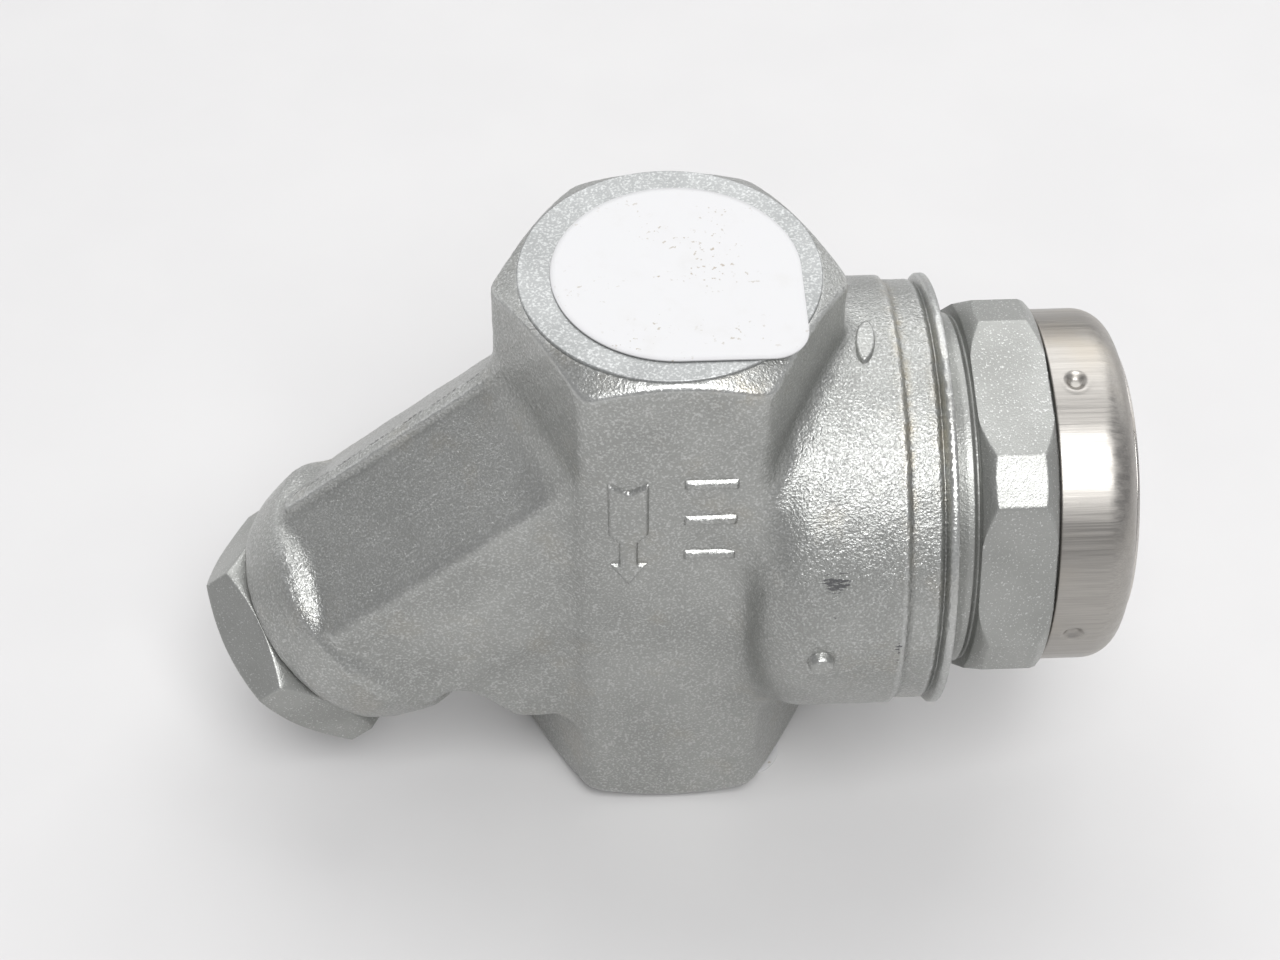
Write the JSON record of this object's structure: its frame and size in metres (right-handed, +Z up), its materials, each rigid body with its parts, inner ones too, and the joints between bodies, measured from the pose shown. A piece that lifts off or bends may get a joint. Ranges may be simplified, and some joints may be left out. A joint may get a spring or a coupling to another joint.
{
  "type": "steam trap",
  "caption": "In-line screwed disc steam trap with a forged hexagonal body, tilted strainer branch, side module barrel, hex cover, brushed air-jacket cap and sealed ports.",
  "frame": {"origin": "on the pipe axis at the outer face of the outlet seal label, which the trap stands on", "axes": "+Z up the pipe axis from outlet to inlet, +X along the cover's axis away from the pipe, +Y away from the face with the flow arrow"},
  "size_m": [0.1167, 0.0557, 0.0806],
  "materials": {
    "silver_paint": "silver metallic paint over rough forged steel",
    "machined_steel": "silver metallic paint over machined faces",
    "brushed_stainless": "brushed stainless sheet",
    "hard_stainless": "ground hardened stainless steel",
    "soft_steel": "soft stainless gaskets and spring steel ring",
    "bimetal": "bimetal strip, faintly straw coloured",
    "seal_film": "white adhesive film"
  },
  "bodies": {
    "body": {"body": "silver_paint", "outlet_seal_label": "seal_film", "inlet_seal_label": "seal_film", "inner_module_gasket": "soft_steel", "outer_module_gasket": "soft_steel", "module_valve_seat": "hard_stainless", "module_inner_cover": "hard_stainless", "module_snap_ring": "soft_steel"},
    "disc": {"valve_disc": "hard_stainless"},
    "vent_ring": {"air_vent_ring": "bimetal"},
    "air_jacket": {"air_jacket_cap": "brushed_stainless", "blank_nameplate": "brushed_stainless"},
    "cover": {"cover": "machined_steel"},
    "strainer": {"screen_holder_gasket": "soft_steel", "strainer_screen": "hard_stainless", "strainer_mesh_sleeve": "hard_stainless", "screen_end_ring_inner": "hard_stainless", "screen_end_ring_outer": "hard_stainless"},
    "screen_holder": {"screen_holder": "machined_steel"}
  },
  "joints": [
    {"name": "disc_lift", "type": "slide", "parent": "body", "child": "disc", "axis": [1, 0, 0], "range_m": [0, 0.0007]},
    {"name": "vent_ring_shift", "type": "slide", "parent": "body", "child": "vent_ring", "axis": [1, 0, 0], "range_m": [0, 0.0005]},
    {"name": "cover_travel", "type": "slide", "parent": "body", "child": "air_jacket", "axis": [1, 0, 0], "range_m": [0, 0.009]},
    {"name": "cover_turn", "type": "hinge", "parent": "air_jacket", "child": "cover", "pos_m": [0.041, 0, 0.0413], "axis": [1, 0, 0], "range_deg": [0, 2160]},
    {"name": "holder_travel", "type": "slide", "parent": "body", "child": "strainer", "axis": [-0.7627, 0, -0.6468], "range_m": [0, 0.009]},
    {"name": "holder_turn", "type": "hinge", "parent": "strainer", "child": "screen_holder", "pos_m": [-0.04805, 0, 0.01755], "axis": [-0.7627, 0, -0.6468], "range_deg": [0, 2160]}
  ],
  "couplings": [
    {"joint": "cover_turn", "follows": "cover_travel", "rad_per_m": 4188.8},
    {"joint": "holder_turn", "follows": "holder_travel", "rad_per_m": 4188.8}
  ]
}
